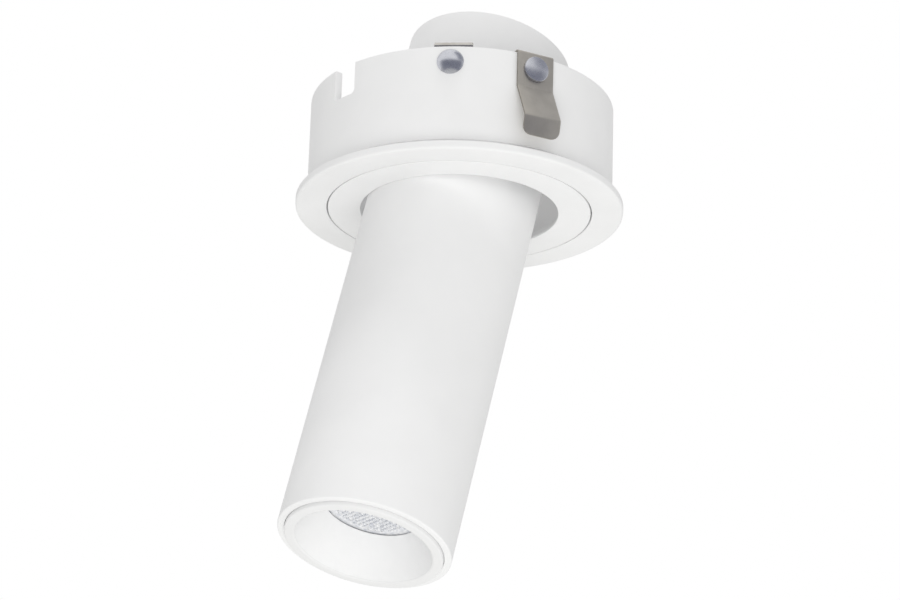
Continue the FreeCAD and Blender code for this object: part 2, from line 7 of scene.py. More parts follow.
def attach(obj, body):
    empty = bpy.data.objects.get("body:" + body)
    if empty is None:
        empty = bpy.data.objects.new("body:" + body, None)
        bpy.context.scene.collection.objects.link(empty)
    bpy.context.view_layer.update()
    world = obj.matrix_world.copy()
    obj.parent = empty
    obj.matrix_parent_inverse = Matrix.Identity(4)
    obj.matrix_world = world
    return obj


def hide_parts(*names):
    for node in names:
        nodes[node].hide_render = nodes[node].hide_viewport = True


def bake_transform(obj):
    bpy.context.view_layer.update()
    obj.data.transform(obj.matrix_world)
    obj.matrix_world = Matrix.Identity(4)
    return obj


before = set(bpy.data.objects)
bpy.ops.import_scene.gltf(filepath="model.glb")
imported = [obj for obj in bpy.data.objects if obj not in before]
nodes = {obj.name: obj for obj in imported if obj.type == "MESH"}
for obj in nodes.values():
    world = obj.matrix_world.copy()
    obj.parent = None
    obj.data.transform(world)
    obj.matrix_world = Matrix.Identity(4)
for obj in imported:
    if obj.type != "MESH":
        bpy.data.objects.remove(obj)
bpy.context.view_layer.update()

mm = 0.001  # the pieces' settings are in millimetres and degrees
sameSpot = 1e-7  # points nearer than this are one point, in metres
nearSpot = 1e-6  # the same for points that several steps have placed
cutSpot = 2e-6  # and for the slivers that a boolean cut leaves
scene = bpy.context.scene
print("frame loaded:", len(nodes), "nodes")


# ways of working that all the pieces share

def hexToLinear(text):
    # sRGB hex to the linear colour that shaders take
    channels = [int(text[start:start + 2], 16) / 255 for start in (1, 3, 5)]
    linear = [level / 12.92 if level <= 0.04045 else ((level + 0.055) / 1.055) ** 2.4 for level in channels]
    return (*linear, 1.0)


def addNode(tree, kind, inputs=None, **settings):
    # one node with its settings; an input is a plain value or the socket that feeds it
    node = tree.nodes.new(kind)
    for name, value in settings.items():
        setattr(node, name, value)
    for name, value in (inputs or {}).items():
        if isinstance(value, bpy.types.NodeSocket):
            tree.links.new(value, node.inputs[name])
        else:
            node.inputs[name].default_value = value
    return node


def newObject(name, bm):
    mesh = bpy.data.meshes.new(name)
    bm.to_mesh(mesh)
    bm.free()
    thing = bpy.data.objects.new(name, mesh)
    scene.collection.objects.link(thing)
    return thing


def vertsOf(geometry):
    return [part for part in geometry if isinstance(part, bmesh.types.BMVert)]


def atBearing(degrees):
    return Matrix.Rotation(math.radians(degrees), 4, "Z")


def roundOff(bm, geometry, size, steps, affect, clamp=False):
    # a rounding, with its size in mm measured along the sides
    bmesh.ops.bevel(bm, geom=geometry, offset=size * mm, offset_type="OFFSET", segments=steps, profile=0.5,
                    affect=affect, material=-1, clamp_overlap=clamp)


def drawOutline(bm, corners, closed=True, steps=5):
    # a wire in the XZ plane from (out, up, rounding) corners in mm
    verts = [bm.verts.new((out * mm, 0, up * mm)) for out, up, rounding in corners]
    ends = verts[1:] + verts[:1] if closed else verts[1:]
    for start, end in zip(verts, ends):
        bm.edges.new((start, end))
    for vert, (out, up, rounding) in zip(verts, corners):
        if rounding:
            roundOff(bm, [vert], rounding, steps, "VERTICES")


def turnRound(bm, steps, merge=sameSpot):
    # a full turn about Z, closed at its seam and on the axis
    bmesh.ops.spin(bm, geom=bm.verts[:] + bm.edges[:], cent=(0, 0, 0), axis=(0, 0, 1), angle=2 * math.pi,
                   steps=steps, use_merge=True, use_normal_flip=False, use_duplicate=False)
    bmesh.ops.remove_doubles(bm, verts=bm.verts, dist=merge)
    bmesh.ops.recalc_face_normals(bm, faces=bm.faces)


def spinRound(corners, closed=True, steps=192, roundSteps=5):
    # a turned piece from its outline, which isn't closed where it ends on the axis
    bm = bmesh.new()
    drawOutline(bm, corners, closed, roundSteps)
    turnRound(bm, steps)
    return bm


def bendSheet(path, width):
    # a thin sheet along (out, up, bend) corners in mm, before it gets its thickness
    bm = bmesh.new()
    drawOutline(bm, path, closed=False, steps=8)
    bmesh.ops.translate(bm, vec=(0, -width * mm / 2, 0), verts=bm.verts)
    grown = bmesh.ops.extrude_edge_only(bm, edges=bm.edges[:])["geom"]
    bmesh.ops.translate(bm, vec=(0, width * mm, 0), verts=vertsOf(grown))
    return bm


def roundCorners(bm, axis, end, size, steps=8):
    # rounds a sheet's corners at its far end (max) or near end (min) along an axis
    edge = end(getattr(vert.co, axis) for vert in bm.verts)
    corners = [vert for vert in bm.verts if abs(getattr(vert.co, axis) - edge) < sameSpot]
    roundOff(bm, corners, size, steps, "VERTICES")


def easeEdges(bm, size, steps=2, above=50):
    # takes the sharpness off every edge that turns by more than this many degrees
    sharp = [edge for edge in bm.edges if edge.is_manifold and edge.calc_face_angle() > math.radians(above)]
    roundOff(bm, sharp, size, steps, "EDGES", clamp=True)


def thicken(bm, thickness, edgeRound):
    # half the thickness to each side, then the stamped edges are eased
    bmesh.ops.recalc_face_normals(bm, faces=bm.faces)
    bm.normal_update()
    for vert in bm.verts:
        vert.co += vert.normal * vert.calc_shell_factor() * thickness * mm / 2
    bmesh.ops.solidify(bm, geom=bm.faces[:], thickness=thickness * mm)
    bmesh.ops.recalc_face_normals(bm, faces=bm.faces)
    easeEdges(bm, edgeRound)


def cutAway(bm, cutter):
    # takes one mesh out of another, exactly
    body, tool = newObject("body", bm), newObject("tool", cutter)
    cut = body.modifiers.new("cut", "BOOLEAN")
    cut.operation, cut.solver, cut.object = "DIFFERENCE", "EXACT", tool
    bpy.context.view_layer.update()
    shaped = body.evaluated_get(bpy.context.evaluated_depsgraph_get())
    result = bmesh.new()
    result.from_mesh(shaped.to_mesh())
    bmesh.ops.remove_doubles(result, verts=result.verts, dist=cutSpot)
    bmesh.ops.dissolve_degenerate(result, edges=result.edges, dist=cutSpot)
    for thing in (body, tool):
        bpy.data.objects.remove(thing)
    return result


def copyTo(bm, places):
    # one copy of a mesh in each place
    first = bm.verts[:] + bm.edges[:] + bm.faces[:]
    for place in places[1:]:
        copied = bmesh.ops.duplicate(bm, geom=first)["geom"]
        bmesh.ops.transform(bm, matrix=place, verts=vertsOf(copied))
    bmesh.ops.transform(bm, matrix=places[0], verts=vertsOf(first))


def finishPiece(name, bm, finish, stands, body=None, place=None, smooth=38):
    # puts a mesh in its place and lets it stand for its CAD nodes; edges sharper than smooth stay crisp
    if place:
        bmesh.ops.transform(bm, matrix=place, verts=bm.verts)
    piece = newObject(name, bm)
    piece.data.polygons.foreach_set("use_smooth", [True] * len(piece.data.polygons))
    piece.data.set_sharp_from_angle(angle=math.radians(smooth))
    piece.data.materials.append(finish)
    if body:
        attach(piece, body)
    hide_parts(*stands)
    return piece


# camera: the photograph's own view, from below the ceiling plane

cameraSet = {"distance": 1007.335, "below": 22.243, "yaw": 0.112, "pitch": -1.651, "roll": -1.755,
             "focalPx": 3298.845, "imageWidth": 900, "sensor": 36.0, "clip": (0.01, 100)}


def makeCamera(its):
    below = math.radians(its["below"])
    place = Vector((0, -math.cos(below), -math.sin(below))) * its["distance"] * mm
    forward = -place.normalized()
    right = Vector((1, 0, 0))
    aim = Matrix((right, right.cross(forward), forward))
    for angle, axis in ((its["yaw"], "Y"), (its["pitch"], "X"), (its["roll"], "Z")):
        aim = Matrix.Rotation(math.radians(angle), 3, axis) @ aim
    data = bpy.data.cameras.new("camera")
    data.sensor_width = its["sensor"]
    data.lens = its["focalPx"] * its["sensor"] / its["imageWidth"]
    data.clip_start, data.clip_end = its["clip"]
    camera = bpy.data.objects.new("camera", data)
    scene.collection.objects.link(camera)
    turn = Matrix((aim[0], aim[1], -aim[2])).transposed()
    camera.matrix_world = Matrix.Translation(place) @ turn.to_4x4()
    scene.camera = camera


makeCamera(cameraSet)
scene.view_settings.view_transform = "Standard"
print("camera set")


# finishes: every surface has its colour, roughness and relief from nodes, sized in real millimetres

noiseRange = {"From Min": 0.3, "From Max": 0.7}  # where most of the noise lies


def makeFinish(name, its):
    # one shader from a dictionary: colour mottling, grain in the gloss, and relief
    material = bpy.data.materials.new(name)
    material.use_nodes = True
    tree = material.node_tree
    shader = tree.nodes["Principled BSDF"]
    where = addNode(tree, "ShaderNodeTexCoord").outputs["Object"]
    along = addNode(tree, "ShaderNodeMapping", {"Vector": where, "Scale": its.get("stretch", (1, 1, 1))})
    patch = addNode(tree, "ShaderNodeTexNoise", {
        "Vector": where, "Scale": 1 / (its["patch"] * mm), "Detail": 3.0}).outputs[0]
    grain = addNode(tree, "ShaderNodeTexNoise", {
        "Vector": along.outputs[0], "Scale": 1 / (its["grain"] * mm), "Detail": 4.0}).outputs[0]
    tint = addNode(tree, "ShaderNodeMapRange", {"Value": patch, **noiseRange}).outputs[0]
    colour = addNode(tree, "ShaderNodeMix", {
        "Factor": tint, "A": hexToLinear(its["hex"]), "B": hexToLinear(its["hexMottle"])}, data_type="RGBA")
    low, high = its["rough"]
    gloss = addNode(tree, "ShaderNodeMapRange", {
        "Value": grain, **noiseRange, "To Min": low, "To Max": high})
    relief = addNode(tree, "ShaderNodeBump", {
        "Height": grain, "Strength": its["relief"], "Distance": its["depth"] * mm})
    tree.links.new(colour.outputs["Result"], shader.inputs["Base Color"])
    tree.links.new(gloss.outputs[0], shader.inputs["Roughness"])
    tree.links.new(relief.outputs[0], shader.inputs["Normal"])
    for socket, value in its.get("sockets", {}).items():
        shader.inputs[socket].default_value = value
    return material


# polyester powder coat, sprayed and baked: an even white satin with a fine orange peel
powderCoat = makeFinish("white powder coat", {
    "hex": "#F2F2F2", "hexMottle": "#EFEFEF", "patch": 14, "grain": 0.9, "rough": (0.52, 0.62), "relief": 0.12,
    "depth": 0.03, "sockets": {"Specular IOR Level": 0.35}})
# the tube has the same coat, a little smoother on the skin of the extrusion
tubeCoat = makeFinish("white powder coat on extruded tube", {
    "hex": "#F2F2F2", "hexMottle": "#EFEFEF", "patch": 18, "grain": 0.8, "rough": (0.52, 0.60), "relief": 0.10,
    "depth": 0.03, "sockets": {"Specular IOR Level": 0.35}})
# moulded polycarbonate: a clean white, slightly greyer than the coat, with a soft shine
whitePolycarbonate = makeFinish("white moulded polycarbonate", {
    "hex": "#ECECEC", "hexMottle": "#E9E9E9", "patch": 20, "grain": 0.6, "rough": (0.45, 0.55), "relief": 0.06,
    "depth": 0.02})
# the funnel's matt white, the whitest here, without gloss: painted light, lighter than the cone's own white
funnelPaintedLight = makeFinish("matt white reflector paint", {
    "hex": "#F4F4F4", "hexMottle": "#F1F1F1", "patch": 20, "grain": 0.5, "rough": (0.75, 0.85), "relief": 0.06,
    "depth": 0.02})
# cold rolled spring steel: warm grey and dull, with rolling lines, drawn coarser than real so that they show
springSteel = makeFinish("rolled spring steel", {
    "hex": "#D0CBC1", "hexMottle": "#C5C0B6", "patch": 5, "grain": 0.25, "stretch": (1, 1, 0.04),
    "rough": (0.48, 0.58), "relief": 0.25, "depth": 0.01, "sockets": {"Metallic": 1.0}})
# its long sides are sheared from the strip: rougher and darker
shearedSteel = makeFinish("sheared spring steel", {
    "hex": "#A7A29A", "hexMottle": "#99948C", "patch": 2, "grain": 0.25, "rough": (0.5, 0.65), "relief": 0.3,
    "depth": 0.02, "sockets": {"Metallic": 1.0}})
# the retainer strips are hardened and tempered: smoother, with a clearer shine; lines drawn coarser too
temperedSteel = makeFinish("tempered strip steel", {
    "hex": "#CAC7C2", "hexMottle": "#BEBAB4", "patch": 4, "grain": 0.3, "stretch": (1, 1, 0.1),
    "rough": (0.18, 0.26), "relief": 0.15, "depth": 0.01, "sockets": {"Metallic": 1.0}})
# nickel plated rivets: bright and softly mirroring, slightly rippled by the heading tool
nickelPlate = makeFinish("nickel plated steel", {
    "hex": "#D2D3D9", "hexMottle": "#C2C4CB", "patch": 3, "grain": 1.6, "rough": (0.24, 0.31), "relief": 0.25,
    "depth": 0.05, "sockets": {"Metallic": 1.0}})
# zinc plated sheet and screws: pale blue grey, with crystals drawn coarser than real so that they show
zincPlate = makeFinish("zinc plated steel", {
    "hex": "#BFC2C6", "hexMottle": "#A9ADB2", "patch": 2.5, "grain": 0.5, "rough": (0.30, 0.45), "relief": 0.2,
    "depth": 0.02, "sockets": {"Metallic": 1.0}})
# anodised aluminium extrusion: satin grey, with die lines drawn coarser than real so that they show
anodisedAluminium = makeFinish("anodised aluminium", {
    "hex": "#B9BABB", "hexMottle": "#ADAEB0", "patch": 6, "grain": 0.3, "stretch": (1, 1, 0.1),
    "rough": (0.35, 0.48), "relief": 0.15, "depth": 0.01, "sockets": {"Metallic": 1.0}})
# moulded nitrile rubber: nearly black, matt, with a faint bloom
nitrileRubber = makeFinish("black nitrile rubber", {
    "hex": "#1C1C1D", "hexMottle": "#29292A", "patch": 3, "grain": 0.4, "rough": (0.65, 0.8), "relief": 0.2,
    "depth": 0.03})
# natural nylon washer, moulded: milky and waxy
naturalNylon = makeFinish("natural nylon", {
    "hex": "#DAD8CF", "hexMottle": "#CFCDC3", "patch": 3, "grain": 0.4, "rough": (0.45, 0.6), "relief": 0.1,
    "depth": 0.02})
# moulded PBT of the LED holder and terminal block: matt, its spark-eroded grain coarser than real to show
whitePbt = makeFinish("white moulded PBT", {
    "hex": "#E4E3DF", "hexMottle": "#DCDBD6", "patch": 5, "grain": 0.35, "rough": (0.55, 0.7), "relief": 0.2,
    "depth": 0.03})
# the lens holder is the same plastic in black, so that it throws no stray light
blackPbt = makeFinish("black moulded PBT", {
    "hex": "#2B2B2C", "hexMottle": "#333334", "patch": 5, "grain": 0.35, "rough": (0.55, 0.7), "relief": 0.2,
    "depth": 0.03})
# white solder mask, printed on the LED board: smooth, half gloss
solderMask = makeFinish("white solder mask", {
    "hex": "#ECEDEA", "hexMottle": "#E2E4E0", "patch": 4, "grain": 0.5, "rough": (0.3, 0.4), "relief": 0.05,
    "depth": 0.02})
# silicone with phosphor, cast over the LED chips: a flat deep yellow
phosphorSilicone = makeFinish("phosphor silicone", {
    "hex": "#EBCB4A", "hexMottle": "#E3BE36", "patch": 1.5, "grain": 0.3, "rough": (0.35, 0.5), "relief": 0.1,
    "depth": 0.02})
# filled silicone pad, cut from sheet: soft blue grey, without shine
gapPad = makeFinish("filled silicone pad", {
    "hex": "#8F959C", "hexMottle": "#858B92", "patch": 2, "grain": 0.3, "rough": (0.7, 0.85), "relief": 0.2,
    "depth": 0.03})
# turned brass screws: warm yellow, with the tool's fine shine
turnedBrass = makeFinish("turned brass", {
    "hex": "#C9A95A", "hexMottle": "#B79648", "patch": 1.5, "grain": 0.2, "rough": (0.25, 0.4), "relief": 0.15,
    "depth": 0.01, "sockets": {"Metallic": 1.0}})
# PVC wire insulation, red and black: extruded, half gloss
redPvc = makeFinish("red PVC insulation", {
    "hex": "#A81E1C", "hexMottle": "#981816", "patch": 4, "grain": 0.4, "rough": (0.35, 0.5), "relief": 0.1,
    "depth": 0.02})
blackPvc = makeFinish("black PVC insulation", {
    "hex": "#202021", "hexMottle": "#2A2A2B", "patch": 4, "grain": 0.4, "rough": (0.35, 0.5), "relief": 0.1,
    "depth": 0.02})
# moulded acrylic of the lens, polished, hardly see-through: its pale mottling is painted light and shade
# from its facets
clearAcrylic = makeFinish("clear moulded acrylic", {
    "hex": "#FFFFFF", "hexMottle": "#D6D9E0", "patch": 1.0, "grain": 1.2, "rough": (0.05, 0.09), "relief": 0.1,
    "depth": 0.02, "sockets": {"Transmission Weight": 0.12, "IOR": 1.49}})
# rolled emulsion on the studio floor: flat and pale
floorPaint = makeFinish("matt emulsion floor", {
    "hex": "#F2F2F0", "hexMottle": "#F1F1EF", "patch": 400, "grain": 3, "rough": (0.85, 0.95), "relief": 0.1,
    "depth": 0.1})
print("finishes made")


# studio: white surround and pale floor, a broad lamp in front, a wide one beneath and a small one above

studioSet = {"surround": 0.68, "floorDrop": 3.0, "floorSize": 14.0}  # lengths are in metres here
lampSets = [
    {"name": "front lamp", "power": 16.8, "size": 1.6, "distance": 2.0, "below": 40.0, "bearing": -88.0},
    {"name": "low lamp", "power": 19.0, "size": 5.0, "distance": 2.8, "below": 78.0, "bearing": 60.0},
    {"name": "top lamp", "power": 14.4, "size": 0.6, "distance": 2.0, "below": -85.0, "bearing": -75.0},
]
# cards that only gloss sees, the unlit sides of the studio, each fading at its edges
cardSets = [
    {"name": "front_card", "hex": "#8C8E99", "bearing": -86, "spread": 190, "low": -46, "high": 26,
     "distance": 1.5, "softAcross": 36, "softUp": 0.3, "steps": 24},
    {"name": "side_card", "hex": "#A2A4AD", "bearing": -8, "spread": 100, "low": 16, "high": 78,
     "distance": 1.6, "softAcross": 30, "softUp": 0.5, "steps": 24},
]


def makeSurround(its):
    world = bpy.data.worlds.new("white surround")
    scene.world = world
    world.use_nodes = True
    tree = world.node_tree
    background = tree.nodes["Background"]
    rays = addNode(tree, "ShaderNodeLightPath").outputs
    # the camera, gloss and glass see plain white, and the object is lit by a softer one
    seen = rays["Is Camera Ray"]
    for kind in ("Is Glossy Ray", "Is Transmission Ray"):
        seen = addNode(tree, "ShaderNodeMath", {0: seen, 1: rays[kind]}, operation="MAXIMUM").outputs[0]
    level = addNode(tree, "ShaderNodeMapRange", {"Value": seen, "To Min": its["surround"], "To Max": 1.0})
    background.inputs["Color"].default_value = (1, 1, 1, 1)
    tree.links.new(level.outputs[0], background.inputs["Strength"])
    bm = bmesh.new()
    bmesh.ops.create_grid(bm, x_segments=1, y_segments=1, size=its["floorSize"] / 2)
    bmesh.ops.translate(bm, vec=(0, 0, -its["floorDrop"]), verts=bm.verts)
    floor = newObject("floor", bm)
    floor.data.materials.append(floorPaint)


def makeLamp(its):
    bearing, below = math.radians(its["bearing"]), math.radians(its["below"])
    level = math.cos(below)  # the share of its way that is level
    away = Vector((math.cos(bearing) * level, math.sin(bearing) * level, -math.sin(below)))
    data = bpy.data.lights.new(its["name"], "AREA")
    data.shape, data.size, data.energy = "DISK", its["size"], its["power"]
    lamp = bpy.data.objects.new(its["name"], data)
    lamp.location = away * its["distance"]
    lamp.rotation_euler = (-away).to_track_quat("-Z", "Y").to_euler()
    lamp.visible_glossy = False  # its light is soft and leaves no hot spot on the rivets
    scene.collection.objects.link(lamp)


def makeCard(its):
    low, high = [its["distance"] * math.tan(math.radians(its[end])) for end in ("low", "high")]
    half, softAcross = math.radians(its["spread"] / 2), math.radians(its["softAcross"])
    material = bpy.data.materials.new(its["name"])
    material.use_nodes = True
    tree = material.node_tree
    where = addNode(tree, "ShaderNodeTexCoord").outputs["Object"]
    turned = addNode(tree, "ShaderNodeMapping", {
        "Vector": where, "Rotation": (0, 0, -math.radians(its["bearing"]))}).outputs[0]
    place = addNode(tree, "ShaderNodeSeparateXYZ", {"Vector": turned}).outputs
    across = addNode(tree, "ShaderNodeMath", {0: place["Y"], 1: place["X"]}, operation="ARCTAN2").outputs[0]
    shade = None  # full in the middle, fading out at each side and end
    for way, start, end, soft in ((across, -half, half, softAcross), (place["Z"], low, high, its["softUp"])):
        for edge, inner in ((start, start + soft), (end, end - soft)):
            fade = addNode(tree, "ShaderNodeMapRange", {"Value": way, "From Min": edge, "From Max": inner},
                           interpolation_type="SMOOTHSTEP").outputs[0]
            if shade:
                fade = addNode(tree, "ShaderNodeMath", {0: shade, 1: fade}, operation="MULTIPLY").outputs[0]
            shade = fade
    clear = addNode(tree, "ShaderNodeBsdfTransparent").outputs[0]
    glow = addNode(tree, "ShaderNodeEmission", {"Color": hexToLinear(its["hex"])}).outputs[0]
    veil = addNode(tree, "ShaderNodeMixShader", {0: shade, 1: clear, 2: glow})
    tree.links.new(veil.outputs[0], tree.nodes["Material Output"].inputs["Surface"])
    bm = bmesh.new()
    ends = [bm.verts.new((its["distance"], 0, height)) for height in (low, high)]
    side = bm.edges.new(ends)
    bmesh.ops.transform(bm, matrix=atBearing(its["bearing"] - its["spread"] / 2), verts=bm.verts)
    bmesh.ops.spin(bm, geom=ends + [side], cent=(0, 0, 0), axis=(0, 0, 1), angle=math.radians(its["spread"]),
                   steps=its["steps"], use_merge=False, use_normal_flip=False, use_duplicate=False)
    card = newObject(its["name"], bm)
    card.data.materials.append(material)
    card.visible_camera = card.visible_diffuse = card.visible_shadow = card.visible_transmission = False


makeSurround(studioSet)
for lampSet in lampSets:
    makeLamp(lampSet)
for cardSet in cardSets:
    makeCard(cardSet)
print("studio set")


# nodes that show as they are, each in its own finish

nodeFinishes = {
    "guide_collar": powderCoat, "grip_ring_lower": nitrileRubber, "grip_ring_upper": nitrileRubber,
    "friction_washers": naturalNylon, "swivel_stop_pin": zincPlate, "stop_ring": springSteel,
    "lens_holder": blackPbt, "led_holder": whitePbt, "holder_screws": zincPlate, "led_board": solderMask,
    "led_emitter": phosphorSilicone, "thermal_pad": gapPad, "heat_sink": anodisedAluminium,
    "terminal_block": whitePbt, "terminal_screws": turnedBrass, "lead_positive": redPvc,
    "lead_negative": blackPvc,
}
for node, finish in nodeFinishes.items():
    nodes[node].data.materials.clear()
    nodes[node].data.materials.append(finish)
print("kept nodes finished:", len(nodeFinishes))


# trim flange and can in one turned piece, with a groove between them and the cable notch in the rim

ringSet = {"bore": 40.47, "trim": 49.97, "can": 46.57, "canBore": 43.97, "bottom": -2.5, "ledge": -0.4,
           "top": 31.7, "trimRound": 0.8, "smallRound": 0.25, "rimRound": 0.4, "groove": 45.87,
           "grooveTop": 1.9, "grooveRound": 0.15, "steps": 240, "notchBearing": -139.9, "notchWidth": 9.4,
           "notchFloor": 21.5, "notchRound": 1.5, "notchRoundSteps": 6, "notchReach": 20}


def makeNotch(its):
    # the block that cuts the notch, rounded along its lower edges
    bm = bmesh.new()
    bmesh.ops.create_cube(bm, size=1)
    tall = 2 * (its["top"] - its["notchFloor"])  # well past the rim
    bmesh.ops.scale(bm, vec=(its["notchReach"] * mm, its["notchWidth"] * mm, tall * mm), verts=bm.verts)
    bmesh.ops.translate(bm, vec=(its["can"] * mm, 0, (its["notchFloor"] + tall / 2) * mm), verts=bm.verts)
    lowEdges = []
    for edge in bm.edges:
        one, other = [vert.co for vert in edge.verts]
        if max(one.z, other.z) < its["top"] * mm and abs(one.x - other.x) > nearSpot:
            lowEdges.append(edge)
    roundOff(bm, lowEdges, its["notchRound"], its["notchRoundSteps"], "EDGES")
    bmesh.ops.transform(bm, matrix=atBearing(its["notchBearing"]), verts=bm.verts)
    return bm


def makeMountingRing(its):
    bm = spinRound([
        (its["bore"], its["bottom"], its["smallRound"]), (its["trim"], its["bottom"], its["trimRound"]),
        (its["trim"], 0, its["smallRound"]), (its["groove"], 0, 0), (its["groove"], its["grooveTop"], 0),
        (its["can"], its["grooveTop"], its["grooveRound"]), (its["can"], its["top"], its["rimRound"]),
        (its["canBore"], its["top"], its["rimRound"]), (its["canBore"], its["ledge"], its["smallRound"]),
        (its["bore"], its["ledge"], 0),
    ], steps=its["steps"])
    bm = cutAway(bm, makeNotch(its))
    finishPiece("trimAndCan", bm, powderCoat, ["mounting_ring"], "root")


makeMountingRing(ringSet)
print("mounting ring made")


# swivel ring, flush with the trim

swivelSet = {"opening": 30.2, "edge": 40.07, "flange": 43.47, "rim": 37.07, "plateEdge": 31.786,
             "bottom": -2.5, "ledge": -0.4, "flangeTop": 1.2, "plateTop": 0.6, "lipTop": -1.6,
             "round": 0.25, "smallRound": 0.15, "steps": 240}


def makeSwivelRing(its):
    bm = spinRound([
        (its["opening"], its["bottom"], its["round"]), (its["edge"], its["bottom"], its["round"]),
        (its["edge"], its["ledge"], 0), (its["flange"], its["ledge"], 0),
        (its["flange"], its["flangeTop"], its["round"]), (its["rim"], its["flangeTop"], its["smallRound"]),
        (its["rim"], its["plateTop"], 0), (its["plateEdge"], its["plateTop"], its["smallRound"]),
        (its["plateEdge"], its["lipTop"], its["smallRound"]),
        (its["opening"], its["lipTop"], its["smallRound"]),
    ], steps=its["steps"])
    finishPiece("swivelPlate", bm, powderCoat, ["swivel_ring"], "swivel")


makeSwivelRing(swivelSet)
print("swivel ring made")


# the head leans square to its pivots; its pieces are made upright, with the pivot at the origin

headSet = {"tilt": 15.8, "bearing": -42.95, "pivotHeight": 9.8}
onHead = (Matrix.Translation((0, 0, headSet["pivotHeight"] * mm)) @ atBearing(headSet["bearing"])
          @ Matrix.Rotation(math.radians(-headSet["tilt"]), 4, "X"))

tubeSet = {"bore": 23.45, "outside": 25.6, "bottom": -130.7, "top": 44.0, "grooveBase": 20.85,
           "grooveTop": 22.5, "grooveRadius": 24.8, "outerRound": 0.5, "innerRound": 0.2, "steps": 256}


def makeTube(its):
    bm = spinRound([
        (its["bore"], its["bottom"], its["innerRound"]), (its["outside"], its["bottom"], its["outerRound"]),
        (its["outside"], its["grooveBase"], 0), (its["grooveRadius"], its["grooveBase"], 0),
        (its["grooveRadius"], its["grooveTop"], 0), (its["outside"], its["grooveTop"], 0),
        (its["outside"], its["top"], its["outerRound"]), (its["bore"], its["top"], its["innerRound"]),
    ], steps=its["steps"])
    finishPiece("lampTube", bm, tubeCoat, ["head_tube"], "head", onHead)


makeTube(tubeSet)
print("tube made")


# anti-glare cone: a rim that stands out of the tube, and a white funnel down to the lens with painted light

coneSet = {"mouth": 20.3, "throat": 14.2, "skirt": 23.35, "skirtBore": 22.05, "rimFace": -131.9,
           "skirtTop": -121.7, "rimBack": -130.6, "behindRim": 21.12, "behindFlange": 16.27,
           "flangeFront": -120.5, "flange": 19.4, "back": -119.2, "mouthRound": 0.5, "edgeRound": 0.5,
           "skirtRound": 0.15, "throatGap": 0.3, "throatFlare": 0.6, "throatRound": 0.12, "roundSteps": 8,
           "paintedLightFacing": 0.2}


def makeCone(its):
    bm = spinRound([
        (its["mouth"], its["rimFace"], its["mouthRound"]), (its["skirt"], its["rimFace"], its["edgeRound"]),
        (its["skirt"], its["skirtTop"], its["skirtRound"]),
        (its["skirtBore"], its["skirtTop"], its["skirtRound"]), (its["skirtBore"], its["rimBack"], 0),
        (its["behindRim"], its["rimBack"], 0), (its["behindFlange"], its["flangeFront"], 0),
        (its["flange"], its["flangeFront"], 0), (its["flange"], its["back"], 0),
        (its["throat"] + its["throatFlare"], its["back"], 0),
        (its["throat"], its["back"] - its["throatGap"], its["throatRound"]),
    ], roundSteps=its["roundSteps"])
    for face in bm.faces:
        middle = face.calc_center_median()
        facesIn = face.normal.z < -its["paintedLightFacing"] and face.normal.xy.dot(middle.xy) < 0
        if facesIn and middle.z > (its["rimFace"] + its["mouthRound"]) * mm:
            face.material_index = 1  # the funnel's inside gets the lighter white, painted light
    cone = finishPiece("glareCone", bm, whitePolycarbonate, ["anti_glare_cone"], "head",
                       onHead)
    # the second finish is the funnel's painted light
    cone.data.materials.append(funnelPaintedLight)


makeCone(coneSet)
print("cone made")


# lens: a grid of small square pillows inside a plain rim, and the collimator's cone behind

lensSet = {"cell": 1.4, "rows": 18, "pillow": 1.0, "pillowSteps": (0.5, 0.3, 0.2), "pillowInset": 0.13,
           "field": 11.2, "fieldSides": 72, "band": 12.8, "step": 0.15, "rim": 17.5, "rimThickness": 2.4,
           "body": 15.0, "back": 8.0, "bodyLength": 8.6, "recess": 6.2, "recessDepth": 3.0, "front": -119.2,
           "turn": 8.0, "smooth": 32}


def openEdges(bm):
    return [edge for edge in bm.edges if edge.is_boundary]


def growBorder(bm, radius, up=0.0):
    # extrudes the open border and takes it to a radius, then along Z, in mm
    grown = bmesh.ops.extrude_edge_only(bm, edges=openEdges(bm))["geom"]
    for vert in vertsOf(grown):
        vert.co.xy = vert.co.xy.normalized() * radius * mm
        vert.co.z += up * mm


